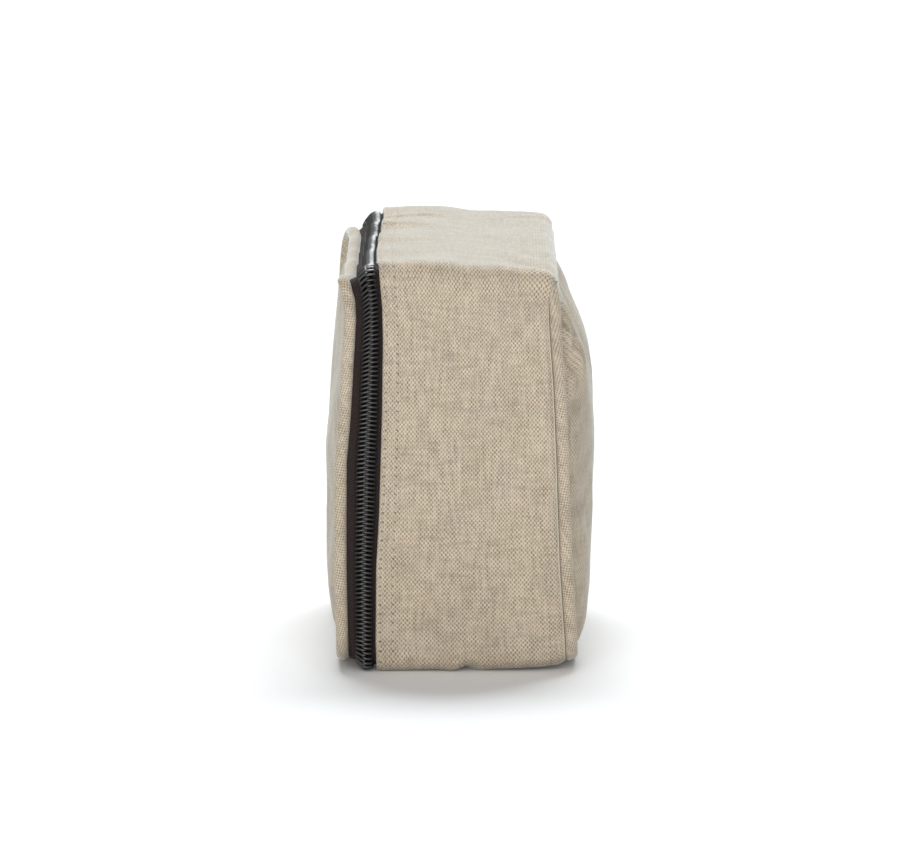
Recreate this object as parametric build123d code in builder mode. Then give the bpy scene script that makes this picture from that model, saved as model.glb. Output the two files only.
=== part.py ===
from build123d import *

import os
from math import sqrt

# A canvas toiletry bag that stands on its base. X runs along the bag, the zipped lid faces -Y and Z is up.
# The origin is the middle of the base, on the surface that the bag stands on. Sizes are in millimetres.

# The bag as a whole
length = 240
height = 163
corner_radius = 14
gusset_width = 71.5
zip_opening = 13
lid_bulge = 2.2
back_bulge = 9.3

# Cloth, and the seams in it
canvas = 1.2
lining = 0.6
hem_width = 12
lining_setback = 3
piping_radius = 2.5
piping_lift = 0.3
cord_radius = 1.4
cord_clearance = 0.05
binding_thickness = 1.2
binding_depth = 4.7
seam_clearance = 0.1
body_clearance = 0.4
base_half_length = 95
least_corner = 1

# How far the two panels swell: the rim's place beside the piping, then steps of inset and share of the swell
panel_corner = 16
lid_rim_forward = 1.3
lid_steps = [(24, 0.6), (45, 1.0)]
back_rim_backward = 1.2
back_steps = [(14, 0.64), (45, 1.0)]

# Zip
coil_width = 7.8
coil_height = 2.4
coil_split = 1.4
coil_to_hem = 1.7
tape_thickness = 0.7
tape_under_hem = 7

# Slider, parked at the closed end on the far end face, and its pull
slider_park = 28
slider_length = 14
slider_plate = 1.2
slider_under_plate = 1.0
slider_side = 1.0
slider_clearance = 0.3
slider_post = 0.8
slider_post_length = 3
crown_width = 2.4
crown_length = 8.4
crown_thickness = 1.0
crown_leg = 1.2
pivot_radius = 0.8
pivot_clearance = 0.3
pull_length = 23
pull_width = 6.4
pull_thickness = 1.2
pull_window_width = 3.4
pull_window_clearance = 0.5
pull_corner = 1.5
pull_hole_radius = 1.3
pull_hole_setback = 3.4

# Places across the bag, from the front to the back
depth = lid_bulge + 2 * piping_radius + zip_opening + gusset_width + 2 * piping_radius + back_bulge
front_y = -depth / 2
lid_piping_y = front_y + lid_bulge + piping_radius
lid_edge_y = lid_piping_y + piping_radius
hem_y = lid_edge_y + zip_opening
coil_y = hem_y - coil_to_hem - coil_width / 2
back_seam_y = hem_y + gusset_width
back_piping_y = back_seam_y + piping_radius
back_y = depth / 2

# Depths below the outline's outer face
hem_depth = max(2 * canvas, coil_height)
coil_depth = hem_depth - coil_height
tape_under = hem_depth + tape_thickness
piping_inset = piping_lift + piping_radius
panel_inset = piping_inset + piping_radius + seam_clearance

# The base strip runs forward to just short of the lid's piping, which turns beside it
base_front_y = lid_piping_y + sqrt((piping_radius + body_clearance) ** 2 - (piping_inset - canvas) ** 2)

# Places out from the far end face, where the slider runs, and up it
far_x = -length / 2
slider_bottom = slider_park - slider_length / 2
slider_top = slider_park + slider_length / 2
tail_top = slider_top + slider_clearance
plate_in = slider_clearance - coil_depth
plate_out = plate_in + slider_plate
pivot_out = plate_out + pivot_clearance + pivot_radius
crown_in = pivot_out + pivot_radius + pivot_clearance
crown_out = crown_in + crown_thickness
side_in = slider_clearance - hem_depth
under_out = -tape_under - slider_clearance
slider_half_width = coil_width / 2 + slider_clearance + slider_side


def across(y):
    """Plane at y whose own axes run along X and Z, and whose normal points to the front."""
    return Plane.XZ.offset(-y)


def corner(inset):
    """Corner radius of the outline drawn in by inset."""
    return max(corner_radius - inset, least_corner)


def outline(y, inset, radius):
    """Filled outline of the bag seen from the front, drawn in by inset."""
    with BuildSketch(across(y)) as filled:
        with Locations((0, height / 2)):
            RectangleRounded(length - 2 * inset, height - 2 * inset, radius)
    return filled.sketch


def ring(y, outer, inner):
    """Closed band of the outline, between two insets."""
    with BuildSketch(across(y)) as band:
        add(outline(y, outer, corner(outer)))
        add(outline(y, inner, corner(inner)), mode=Mode.SUBTRACT)
    return band.sketch


def open_ring(y, outer, inner, end_gap=0):
    """The same band without its run along the base, where the base strip takes its place."""
    with BuildSketch(across(y)) as band:
        add(ring(y, outer, inner))
        Rectangle(2 * (base_half_length + end_gap), 2 * (inner + canvas), mode=Mode.SUBTRACT)
    return band.sketch


def far_tail(y, outer, inner):
    """The stretch of an open band on the far end face that lies below the top of the parked slider."""
    with BuildSketch(across(y)) as tail:
        add(open_ring(y, outer, inner, seam_clearance))
        with Locations((-length / 2, 0)):
            Rectangle(length, 2 * tail_top, mode=Mode.INTERSECT)
    return tail.sketch


def lid_band(y, outer, inner):
    """The rest of that open band, which opens with the lid."""
    with BuildSketch(across(y)) as band:
        add(open_ring(y, outer, inner, seam_clearance))
        with Locations((-length / 2, 0)):
            Rectangle(length, 2 * (tail_top + body_clearance), mode=Mode.SUBTRACT)
    return band.sketch


def swollen(rim_y, crown_y, steps, inward):
    """Outlines of a panel from its rim out to its crown, all moved by inward along Y."""
    sections = [outline(rim_y + inward, panel_inset, corner(panel_inset))]
    for inset, share in steps:
        y = rim_y + (crown_y - rim_y) * share + inward
        sections.append(outline(y, panel_inset + inset, panel_corner))
    return sections


def piping_line(y):
    """The closed line that the middle of a piping follows."""
    return outline(y, piping_inset, corner(piping_inset)).face().outer_wire()


def disc_on(line, radius):
    """Round section square to the start of a line."""
    with BuildSketch(Plane(origin=line @ 0, z_dir=line % 0)) as disc:
        Circle(radius)
    return disc.sketch


def out_from_end(out_low, out_high, half_width):
    """Rectangle in a level sketch, from out_low to out_high beyond the far end face, centred on the coil."""
    with Locations((far_x - (out_low + out_high) / 2, coil_y)):
        Rectangle(out_high - out_low, 2 * half_width)


os.makedirs("parts", exist_ok=True)

# The gusset is one strip round both ends and the top, with a doubled hem along the zip
with BuildPart() as gusset_outer:
    extrude(open_ring(hem_y, 0, canvas), amount=-gusset_width)
    extrude(open_ring(hem_y, 0, hem_depth), amount=-hem_width)
gusset_outer.part.label = "gusset_outer"
export_step(gusset_outer.part, "parts/gusset_outer.step")

# Its lining is turned in over the zip tape, then steps out to lie on the canvas
lining_front_y = hem_y + lining_setback
lining_step_y = hem_y + hem_width
lining_back_y = back_seam_y - seam_clearance
with BuildPart() as gusset_lining:
    extrude(open_ring(lining_front_y, tape_under, tape_under + lining), amount=lining_front_y - lining_step_y)
    extrude(open_ring(lining_step_y, canvas, tape_under + lining), amount=-lining)
    extrude(open_ring(lining_step_y, canvas, canvas + lining), amount=lining_step_y - lining_back_y)
gusset_lining.part.label = "gusset_lining"
export_step(gusset_lining.part, "parts/gusset_lining.step")

# The base is a strip between the gusset's two ends
with BuildPart() as base_outer:
    with BuildSketch():
        with Locations((0, (base_front_y + back_seam_y) / 2)):
            Rectangle(2 * base_half_length, back_seam_y - base_front_y)
    extrude(amount=canvas)
base_outer.part.label = "base_outer"
export_step(base_outer.part, "parts/base_outer.step")

with BuildPart() as base_lining:
    with BuildSketch(Plane.XY.offset(canvas)):
        with Locations((0, (base_front_y + lining_back_y) / 2)):
            Rectangle(2 * base_half_length, lining_back_y - base_front_y)
    extrude(amount=lining)
base_lining.part.label = "base_lining"
export_step(base_lining.part, "parts/base_lining.step")

# The back panel swells beyond its piping
back_rim_y = back_piping_y + back_rim_backward
with BuildPart() as back_panel_outer:
    loft(swollen(back_rim_y, back_y, back_steps, 0), ruled=True)
    loft(swollen(back_rim_y, back_y, back_steps, -canvas), ruled=True, mode=Mode.SUBTRACT)
back_panel_outer.part.label = "back_panel_outer"
export_step(back_panel_outer.part, "parts/back_panel_outer.step")

with BuildPart() as back_lining:
    loft(swollen(back_rim_y, back_y, back_steps, -canvas), ruled=True)
    loft(swollen(back_rim_y, back_y, back_steps, -canvas - lining), ruled=True, mode=Mode.SUBTRACT)
back_lining.part.label = "back_lining"
export_step(back_lining.part, "parts/back_lining.step")

# Each piping is a tube of canvas folded round a cord, all the way round its panel
back_line = piping_line(back_piping_y)
with BuildPart() as back_piping_cover:
    sweep(disc_on(back_line, piping_radius), path=back_line)
    sweep(disc_on(back_line, cord_radius + cord_clearance), path=back_line, mode=Mode.SUBTRACT)
back_piping_cover.part.label = "back_piping_cover"
export_step(back_piping_cover.part, "parts/back_piping_cover.step")

with BuildPart() as back_piping_cord:
    sweep(disc_on(back_line, cord_radius), path=back_line)
back_piping_cord.part.label = "back_piping_cord"
export_step(back_piping_cord.part, "parts/back_piping_cord.step")

# Inside, a folded binding covers the raw edges of the back seam
binding_foot = canvas + lining + seam_clearance
with BuildPart() as back_seam_binding:
    extrude(ring(lining_back_y - binding_thickness, binding_foot, binding_foot + binding_depth),
            amount=-binding_thickness)
back_seam_binding.part.label = "back_seam_binding"
export_step(back_seam_binding.part, "parts/back_seam_binding.step")

# The body's half of the zip: its tape is sewn under the hem, and its coil stands on the tape
body_half_y = coil_y + coil_split / 2
with BuildPart() as body_zip_tape:
    extrude(open_ring(body_half_y, hem_depth, tape_under, seam_clearance),
            amount=body_half_y - hem_y - tape_under_hem)
body_zip_tape.part.label = "body_zip_tape"
export_step(body_zip_tape.part, "parts/body_zip_tape.step")

half_coil = (coil_width - coil_split) / 2
with BuildPart() as body_zip_coil:
    extrude(open_ring(body_half_y, coil_depth, hem_depth, seam_clearance), amount=-half_coil)
body_zip_coil.part.label = "body_zip_coil"
export_step(body_zip_coil.part, "parts/body_zip_coil.step")

# The last stretch of the lid's half, in and below the parked slider, stays with the base corner
lid_half_y = coil_y - coil_split / 2
tail_front_y = lid_edge_y + seam_clearance + body_clearance
with BuildPart() as zip_tape_tail:
    extrude(far_tail(tail_front_y, hem_depth, tape_under), amount=tail_front_y - lid_half_y)
zip_tape_tail.part.label = "zip_tape_tail"
export_step(zip_tape_tail.part, "parts/zip_tape_tail.step")

with BuildPart() as zip_coil_tail:
    extrude(far_tail(lid_half_y - half_coil, coil_depth, hem_depth), amount=-half_coil)
zip_coil_tail.part.label = "zip_coil_tail"
export_step(zip_coil_tail.part, "parts/zip_coil_tail.step")

# The lid's panel, lining and piping, which turn about the piping's run along the base
lid_rim_y = lid_piping_y - lid_rim_forward
with BuildPart() as lid_panel_outer:
    loft(swollen(lid_rim_y, front_y, lid_steps, 0), ruled=True)
    loft(swollen(lid_rim_y, front_y, lid_steps, canvas), ruled=True, mode=Mode.SUBTRACT)
lid_panel_outer.part.label = "lid_panel_outer"
export_step(lid_panel_outer.part, "parts/lid_panel_outer.step")

with BuildPart() as lid_lining:
    loft(swollen(lid_rim_y, front_y, lid_steps, canvas), ruled=True)
    loft(swollen(lid_rim_y, front_y, lid_steps, canvas + lining), ruled=True, mode=Mode.SUBTRACT)
lid_lining.part.label = "lid_lining"
export_step(lid_lining.part, "parts/lid_lining.step")

lid_line = piping_line(lid_piping_y)
with BuildPart() as lid_piping_cover:
    sweep(disc_on(lid_line, piping_radius), path=lid_line)
    sweep(disc_on(lid_line, cord_radius + cord_clearance), path=lid_line, mode=Mode.SUBTRACT)
lid_piping_cover.part.label = "lid_piping_cover"
export_step(lid_piping_cover.part, "parts/lid_piping_cover.step")

with BuildPart() as lid_piping_cord:
    sweep(disc_on(lid_line, cord_radius), path=lid_line)
lid_piping_cord.part.label = "lid_piping_cord"
export_step(lid_piping_cord.part, "parts/lid_piping_cord.step")

lid_binding_y = lid_edge_y + 2 * seam_clearance
lid_binding_foot = tape_under + body_clearance
with BuildPart() as lid_seam_binding:
    extrude(ring(lid_binding_y, lid_binding_foot, lid_binding_foot + binding_depth), amount=-binding_thickness)
lid_seam_binding.part.label = "lid_seam_binding"
export_step(lid_seam_binding.part, "parts/lid_seam_binding.step")

# The lid's half of the zip
lid_tape_y = lid_edge_y + seam_clearance
with BuildPart() as lid_zip_tape:
    extrude(lid_band(lid_tape_y, hem_depth, tape_under), amount=lid_tape_y - lid_half_y)
lid_zip_tape.part.label = "lid_zip_tape"
export_step(lid_zip_tape.part, "parts/lid_zip_tape.step")

with BuildPart() as lid_zip_coil:
    extrude(lid_band(lid_half_y - half_coil, coil_depth, hem_depth), amount=-half_coil)
lid_zip_coil.part.label = "lid_zip_coil"
export_step(lid_zip_coil.part, "parts/lid_zip_coil.step")

# The slider: a plate with sides over the coil, a plate under the tape, and a post between the two coils
with BuildPart() as slider_body:
    with BuildSketch(Plane.XY.offset(slider_bottom)):
        out_from_end(side_in, plate_out, slider_half_width)
        with Locations((far_x - (side_in + plate_in) / 2, coil_y)):
            Rectangle(plate_in - side_in, coil_width + 2 * slider_clearance, mode=Mode.SUBTRACT)
        out_from_end(under_out - slider_under_plate, under_out, slider_half_width)
    extrude(amount=slider_length)
    with BuildSketch(Plane.XY.offset(slider_bottom)):
        out_from_end(under_out, plate_in, slider_post / 2)
    extrude(amount=slider_post_length)
slider_body.part.label = "slider_body"
export_step(slider_body.part, "parts/slider_body.step")

# The crown is the arch on the slider that holds the pull
with BuildPart() as slider_crown:
    with BuildSketch(across(coil_y - crown_width / 2)):
        with Locations((far_x - (plate_out + crown_out) / 2, slider_park)):
            Rectangle(crown_out - plate_out, crown_length)
        with Locations((far_x - (plate_out + crown_in) / 2, slider_park)):
            Rectangle(crown_in - plate_out, crown_length - 2 * crown_leg, mode=Mode.SUBTRACT)
    extrude(amount=-crown_width)
slider_crown.part.label = "slider_crown"
export_step(slider_crown.part, "parts/slider_crown.step")

# The pull hangs from a bar through the crown, in a window that clears the crown as it swings
pull_top = slider_park + pull_thickness / 2
pull_bottom = slider_park - pull_length
window_reach = sqrt((crown_out - pivot_out) ** 2 + (crown_length / 2) ** 2) + pull_window_clearance
with BuildPart() as pull_tab:
    with BuildSketch(Plane.YZ.offset(far_x - pivot_out - pull_thickness / 2)):
        with Locations((coil_y, (pull_top + pull_bottom) / 2)):
            Rectangle(pull_width, pull_top - pull_bottom)
        with Locations((coil_y, slider_park)):
            Rectangle(pull_window_width, 2 * window_reach, mode=Mode.SUBTRACT)
        with Locations((coil_y, pull_bottom + pull_hole_setback)):
            Circle(pull_hole_radius, mode=Mode.SUBTRACT)
    extrude(amount=pull_thickness)
    fillet(pull_tab.edges().filter_by(Axis.X).group_by(Axis.Z)[0], radius=pull_corner)
    with BuildSketch(Plane.XZ.offset(-coil_y)):
        with Locations((far_x - pivot_out, slider_park)):
            Circle(pivot_radius)
    extrude(amount=pull_width / 2, both=True)
pull_tab.part.label = "pull_tab"
export_step(pull_tab.part, "parts/pull_tab.step")

# Sizes that the joints use
print("lid turns about X at y", round(lid_piping_y, 3), "z", round(piping_inset, 3))
print("slider park z", slider_park, "travel", round(height - corner_radius - slider_top - slider_clearance, 3))
print("pull turns about Y at x", round(far_x - pivot_out, 3), "y", round(coil_y, 3), "z", slider_park)
print("inside from y", round(lid_rim_y + canvas + lining, 3), "to", round(back_rim_y - canvas - lining, 3))
print("bindings reach in to", round(lid_binding_foot + binding_depth, 3))
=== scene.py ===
# %% [markdown]
# # A canvas toiletry bag with a zip-round lid
#
# The bag stands on its base. One long strip of canvas, the gusset, makes both ends and the top. A swollen
# back panel closes one side. On the other side a lid, hinged by its lower seam, is closed by a zip. The
# solids that are loaded first say where each piece lies, and this script dresses each of them as the
# cloth, nylon and metal that it is on the real bag.

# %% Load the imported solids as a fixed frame
from math import cos, pi, radians, sin

import bmesh
import bpy
import numpy as np
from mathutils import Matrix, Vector


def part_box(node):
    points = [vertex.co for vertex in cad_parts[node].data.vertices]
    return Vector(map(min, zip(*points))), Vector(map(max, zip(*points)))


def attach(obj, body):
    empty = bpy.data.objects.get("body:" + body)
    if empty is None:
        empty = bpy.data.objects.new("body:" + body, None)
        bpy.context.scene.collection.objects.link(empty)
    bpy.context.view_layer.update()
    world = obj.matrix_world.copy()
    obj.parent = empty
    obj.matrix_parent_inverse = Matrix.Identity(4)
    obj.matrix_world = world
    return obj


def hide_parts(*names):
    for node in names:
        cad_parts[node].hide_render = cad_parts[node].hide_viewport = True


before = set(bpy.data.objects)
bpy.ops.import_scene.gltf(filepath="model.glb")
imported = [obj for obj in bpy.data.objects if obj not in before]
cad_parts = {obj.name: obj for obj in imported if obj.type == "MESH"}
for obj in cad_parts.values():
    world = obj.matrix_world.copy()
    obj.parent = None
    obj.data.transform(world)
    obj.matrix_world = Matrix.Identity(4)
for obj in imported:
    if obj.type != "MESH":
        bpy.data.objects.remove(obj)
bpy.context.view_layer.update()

mm = 0.001

# %% [markdown]
# ## Sizes
#
# Every size comes from the solids where they hold it, so that a piece goes exactly where its solid is.
# Only what the solids can't say, such as the radius of the soft corners, is a number here.

# %% Take the sizes from the frame
gusset_low, gusset_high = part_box("gusset_outer")
half_length = gusset_high.x
height = gusset_high.z
hem_y = gusset_low.y
seam_y = gusset_high.y
corner_radius = 14 * mm
base_low, base_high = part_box("base_outer")
canvas = base_high.z
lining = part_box("base_lining")[1].z - canvas
base_half = base_high.x
base_front_y = base_low.y
hem_depth = half_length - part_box("body_zip_tape")[1].x
tape_thickness = 0.7 * mm
tape_under = hem_depth + tape_thickness

lid_piping_low, lid_piping_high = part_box("lid_piping_cover")
lid_piping_y = (lid_piping_low.y + lid_piping_high.y) / 2
piping_radius = (lid_piping_high.y - lid_piping_low.y) / 2
piping_inset = half_length - lid_piping_high.x + piping_radius
lid_edge_y = lid_piping_high.y
back_piping_y = sum(corner.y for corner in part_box("back_piping_cover")) / 2
coil_y = (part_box("lid_zip_coil")[0].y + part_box("body_zip_coil")[1].y) / 2
print("half length", round(half_length, 4), "height", round(height, 4))
print("hem at", round(hem_y, 4), "and the middle of the coils at", round(coil_y, 4))

# %% [markdown]
# ## The camera
#
# The photograph looks along the bag from one end, a little from above, through a long lens: the far end of
# the top is hardly narrower than the near one. One pixel is 0.4 mm at the near end face, so the lens and
# the distance follow from the width of the picture.

# %% Place the camera
pixel = 0.4 * mm
picture_width = 900
picture_height = 846
tilt = radians(6.3)
camera_distance = 5.0
base_row = 673
zero_column = 461

aim_y = (picture_width / 2 - zero_column) * pixel
aim_z = (base_row - picture_height / 2) * pixel / cos(tilt)
camera_data = bpy.data.cameras.new("camera")
camera = bpy.data.objects.new("camera", camera_data)
bpy.context.scene.collection.objects.link(camera)
bpy.context.scene.camera = camera
backward = Vector((cos(tilt), 0, sin(tilt)))
camera.location = Vector((half_length, aim_y, aim_z)) + camera_distance * backward
camera.rotation_euler = (-backward).to_track_quat("-Z", "Y").to_euler()
camera_data.lens = camera_data.sensor_width * camera_distance / (picture_width * pixel)
camera_data.clip_end = 100
print("lens", round(camera_data.lens), "mm at", camera_distance, "m")

# %% [markdown]
# ## The studio
#
# A soft lamp behind and above the bag lightens its top and throws a faint shadow towards the camera. A
# second one in front lights the end face. Both are wide suns, so that the whole floor is lit evenly. The
# floor and the world look white to the camera without putting more light on the bag: the Light Path node
# tells the camera's rays, and those of gloss, from the rest.

# %% One class for shader sums, and one for a material
class Socket:
    """An output in a shader. A sum written on it adds the Math node that works it out."""

    def __init__(self, finish, out):
        self.finish = finish
        self.out = out

    def beside(self, name):
        """Another output of the same node."""
        return Socket(self.finish, self.out.node.outputs[name])

    def math(self, operation, first, second=None):
        sockets = {0: first} if second is None else {0: first, 1: second}
        return self.finish.node("Math", {"operation": operation}, sockets)

    def __add__(self, other):
        return self.math("ADD", self, other)

    __radd__ = __add__

    def __sub__(self, other):
        return self.math("SUBTRACT", self, other)

    def __rsub__(self, other):
        return self.math("SUBTRACT", other, self)

    def __mul__(self, other):
        return self.math("MULTIPLY", self, other)

    __rmul__ = __mul__

    def __truediv__(self, other):
        return self.math("DIVIDE", self, other)

    def __abs__(self):
        return self.math("ABSOLUTE", self)

    def sine(self):
        return self.math("SINE", self)

    def root(self):
        return self.math("SQRT", self)

    def over(self, limit):
        return self.math("GREATER_THAN", self, limit)


class Finish:
    """A material or world that is built node by node."""

    def __init__(self, name, world=False):
        self.data = bpy.data.worlds.new(name) if world else bpy.data.materials.new(name)
        self.data.use_nodes = True
        self.tree = self.data.node_tree
        self.tree.nodes.clear()

    def node(self, kind, settings=None, sockets=None, out=0):
        made = self.tree.nodes.new("ShaderNode" + kind)
        for name, value in (settings or {}).items():
            setattr(made, name, value)
        for name, value in (sockets or {}).items():
            if isinstance(value, Socket):
                self.tree.links.new(value.out, made.inputs[name])
            else:
                made.inputs[name].default_value = value
        return Socket(self, made.outputs[out]) if made.outputs else None

    def mix(self, share, first, second):
        """A colour between two, by share."""
        return self.node("Mix", {"data_type": "RGBA"}, {0: share, 6: first, 7: second}, out=2)

    def smooth(self, value, low, high):
        """0 below low, 1 above high, and a smooth step between."""
        sockets = {"Value": value, "From Min": low, "From Max": high}
        return self.node("MapRange", {"interpolation_type": "SMOOTHSTEP"}, sockets)

    def zigzag(self, value, half):
        """A triangle wave, which is the distance from value to the nearest whole step of twice half."""
        return self.node("Math", {"operation": "PINGPONG"}, {0: value, 1: half})

    def noise(self, place, scale, detail=2.0):
        return self.node("TexNoise", {}, {"Vector": place, "Scale": scale, "Detail": detail})


print("shader helpers ready:", Socket.__name__, Finish.__name__)

# %% Light the bag, and make the floor and the world
def seen_directly(finish):
    """1 for the rays of the camera, and for those that gloss and glass send on."""
    rays = finish.node("LightPath")
    shown = rays.math("MAXIMUM", rays.beside("Is Camera Ray"), rays.beside("Is Glossy Ray"))
    return rays.math("MAXIMUM", shown, rays.beside("Is Transmission Ray"))


def lamp(name, strength, angle, towards, color):
    """A wide sun that shines along towards."""
    data = bpy.data.lights.new(name, "SUN")
    data.energy = strength
    data.angle = radians(angle)
    data.color = color
    made = bpy.data.objects.new(name, data)
    made.rotation_euler = Vector(towards).to_track_quat("-Z", "Y").to_euler()
    bpy.context.scene.collection.objects.link(made)


lamp("back lamp", 3.4, 36, (0.6, -0.03, -0.8), (0.92, 0.97, 1.0))
lamp("front lamp", 1.85, 50, (-0.965, 0.13, -0.215), (1.0, 0.985, 0.95))

world = Finish("studio", world=True)
sky = world.node("Background", {}, {"Color": (1.0, 1.0, 1.0, 1.0), "Strength": 0.31})
white = world.node("Background", {}, {"Color": (1.0, 1.0, 1.0, 1.0), "Strength": 1.0})
shown = world.node("MixShader", {}, {0: seen_directly(world), 1: sky, 2: white})
world.node("OutputWorld", {}, {"Surface": shown})
bpy.context.scene.world = world.data
bpy.context.scene.view_settings.view_transform = "Standard"

floor_finish = Finish("floor")
paint = floor_finish.node("BsdfDiffuse", {}, {"Color": (0.86, 0.86, 0.86, 1.0)})
glow_strength = seen_directly(floor_finish) * 0.05
glow = floor_finish.node("Emission", {}, {"Color": (1.0, 1.0, 1.0, 1.0), "Strength": glow_strength})
floor_shader = floor_finish.node("AddShader", {}, {0: paint, 1: glow})
floor_finish.node("OutputMaterial", {}, {"Surface": floor_shader})

floor_half = 9.0
floor_drop = 0.1 * mm
floor_signs = [(-1, -1), (1, -1), (1, 1), (-1, 1)]
floor_corners = [(x * floor_half, y * floor_half, -floor_drop) for x, y in floor_signs]
floor_mesh = bpy.data.meshes.new("floor")
floor_mesh.from_pydata(floor_corners, [], [(0, 1, 2, 3)])
floor = bpy.data.objects.new("floor", floor_mesh)
floor_mesh.materials.append(floor_finish.data)
bpy.context.scene.collection.objects.link(floor)
print(len(bpy.data.lights), "lamps, and a floor", 2 * floor_half, "m wide")

# %% [markdown]
# ## Canvas and the other cloths
#
# Plain-woven canvas has yarns that pass over and under each other, each a little thicker here and thinner
# there, and small dark bits of cotton seed. A picture of cloth would blur and repeat, so the weave is
# worked out from the cloth's own lengths, which every piece carries as a map named cloth, in metres. The
# product of two sines is one bump for each crossing. Its sign says which yarn is on top, so each yarn
# keeps its own tone. The gaps between the yarns and the spots where the weft is on top get painted shade.

# %% A woven cloth
def woven(name, light, dark, warp, weft, bias=0.0, flecks=0.0, relief=0.12, sheen=0.6, contrast=1.0,
          holes=None):
    """Plain weave with yarns warp and weft apart, turned by bias.

    flecks is the share of the seed spots, relief is in mm, holes are rows of needle holes painted as shade.
    """
    cloth = Finish(name)
    place = cloth.node("UVMap", {"uv_map": "cloth"})
    turned = cloth.node("Mapping", {}, {"Vector": place, "Rotation": (0, 0, bias)})
    drift = cloth.noise(turned, 160.0).beside("Color")
    centred = cloth.node("VectorMath", {"operation": "SUBTRACT"}, {0: drift, 1: (0.5, 0.5, 0.5)})
    small = cloth.node("VectorMath", {"operation": "SCALE"}, {0: centred, "Scale": 0.9 * warp})
    threads = cloth.node("VectorMath", {"operation": "ADD"}, {0: turned, 1: small})
    along = cloth.node("SeparateXYZ", {}, {0: threads})
    warp_wave = (along * (pi / warp)).sine()
    weft_wave = (along.beside("Y") * (pi / weft)).sine()
    crossing = warp_wave * weft_wave
    warp_streaks = cloth.node("Mapping", {}, {"Vector": threads, "Scale": (0.55 / warp, 110.0, 1.0)})
    weft_streaks = cloth.node("Mapping", {}, {"Vector": threads, "Scale": (110.0, 0.55 / weft, 1.0)})
    on_top = crossing.over(0.0)
    warp_tone = cloth.noise(warp_streaks, 1.0, 1.0)
    weft_tone = cloth.noise(weft_streaks, 1.0, 1.0)
    yarn = on_top * warp_tone + (1.0 - on_top) * weft_tone
    grain = cloth.noise(place, 1500.0, 1.0)
    patches = cloth.noise(place, 70.0, 3.0)
    stretched = cloth.node("Mapping", {}, {"Vector": threads, "Scale": (105.0, 520.0, 1.0)})
    slubs = cloth.noise(stretched, 1.0, 2.0)
    # Painted shade: darker in the gaps between the yarns, and in spots where the weft lies on top.
    gap_shade = 0.24 * abs(warp_wave) + 0.05 * abs(weft_wave) - 0.185
    weft_spot_shade = 0.5 * (cloth.smooth(crossing, -1.0, 0.0) - 0.79)
    weave = contrast * (weft_spot_shade + gap_shade + 0.6 * (yarn - 0.5) + 0.45 * (grain - 0.5))
    shade = weave + 0.22 * (patches - 0.5) + 0.24 * (slubs - 0.5) + 0.5
    warmer = cloth.mix(0.07, light, (0.9, 0.62, 0.26, 1.0))
    cream = cloth.mix(cloth.smooth(cloth.noise(place, 60.0, 2.0), 0.35, 0.65), light, warmer)
    tone = cloth.mix(cloth.smooth(shade, 0.0, 1.0), dark, cream)
    if flecks:
        cells = cloth.node("TexVoronoi", {}, {"Vector": place, "Scale": 110.0})
        chance = cloth.node("SeparateColor", {}, {0: cells.beside("Color")})
        spot = chance.over(1 - flecks) * (1.0 - cloth.smooth(cells, 0.015, 0.05))
        tone = cloth.mix(spot * 0.8, tone, (0.10, 0.06, 0.03, 1.0))
    if holes:
        rows, first, pitch = holes
        uv = cloth.node("SeparateXYZ", {}, {0: place})
        off = cloth.zigzag(uv - first, pitch / 2)
        for row in rows:
            across = uv.beside("Y") - row
            apart = (off * off + across * across).root()
            # Painted shade: each needle hole is a dark spot, standing for the shade inside it.
            needle_hole_shade = 1.0 - cloth.smooth(apart, 0.22 * mm, 0.55 * mm)
            tone = cloth.mix(needle_hole_shade * 0.9, tone, (0.07, 0.045, 0.03, 1.0))
    rise = 0.6 * abs(crossing) + 0.3 * crossing + 0.5 * yarn
    normal = cloth.node("Bump", {}, {"Strength": 0.5, "Distance": relief * mm, "Height": rise})
    sockets = {"Base Color": tone, "Roughness": 0.8, "Normal": normal, "Sheen Weight": sheen,
               "Sheen Roughness": 0.3, "Sheen Tint": (0.86, 0.96, 1.0, 1.0), "Specular IOR Level": 0.25}
    shader = cloth.node("BsdfPrincipled", {}, sockets)
    cloth.node("OutputMaterial", {}, {"Surface": shader})
    return cloth.data


hem_width = 12 * mm
stitch_pitch = 3.7 * mm
stitch_start = base_half + 2 * mm
row_offsets = (1.6 * mm, 6.4 * mm)
hem_rows = [hem_y + offset for offset in row_offsets]
canvas_light = (0.71, 0.615, 0.49, 1.0)
canvas_dark = (0.20, 0.16, 0.118, 1.0)
canvas_warp = 0.92 * mm
canvas_weft = 0.78 * mm
canvas_cloth = woven("natural canvas", canvas_light, canvas_dark, canvas_warp, canvas_weft, flecks=0.35,
                     holes=(hem_rows, stitch_start, stitch_pitch))
panel_cloth = woven("panel canvas", canvas_light, canvas_dark, canvas_warp, canvas_weft, flecks=0.35,
                    sheen=0.25, contrast=0.62)
piping_cloth = woven("bias canvas", canvas_light, canvas_dark, 0.70 * mm, 0.80 * mm, bias=radians(33),
                     flecks=0.15)
lining_cloth = woven("cotton lining", (0.72, 0.67, 0.58, 1.0), (0.40, 0.36, 0.30, 1.0), 0.42 * mm,
                     0.42 * mm, relief=0.05, sheen=0.15, contrast=0.5)
binding_cloth = woven("binding tape", (0.62, 0.56, 0.46, 1.0), (0.30, 0.26, 0.20, 1.0), 0.6 * mm,
                      0.45 * mm, relief=0.08, contrast=0.7)
cord_cloth = woven("cotton cord", (0.75, 0.72, 0.65, 1.0), (0.4, 0.37, 0.32, 1.0), 1.2 * mm, 1.2 * mm,
                   bias=radians(35))
print("cloths made:", canvas_cloth.name, piping_cloth.name, lining_cloth.name)
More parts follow.
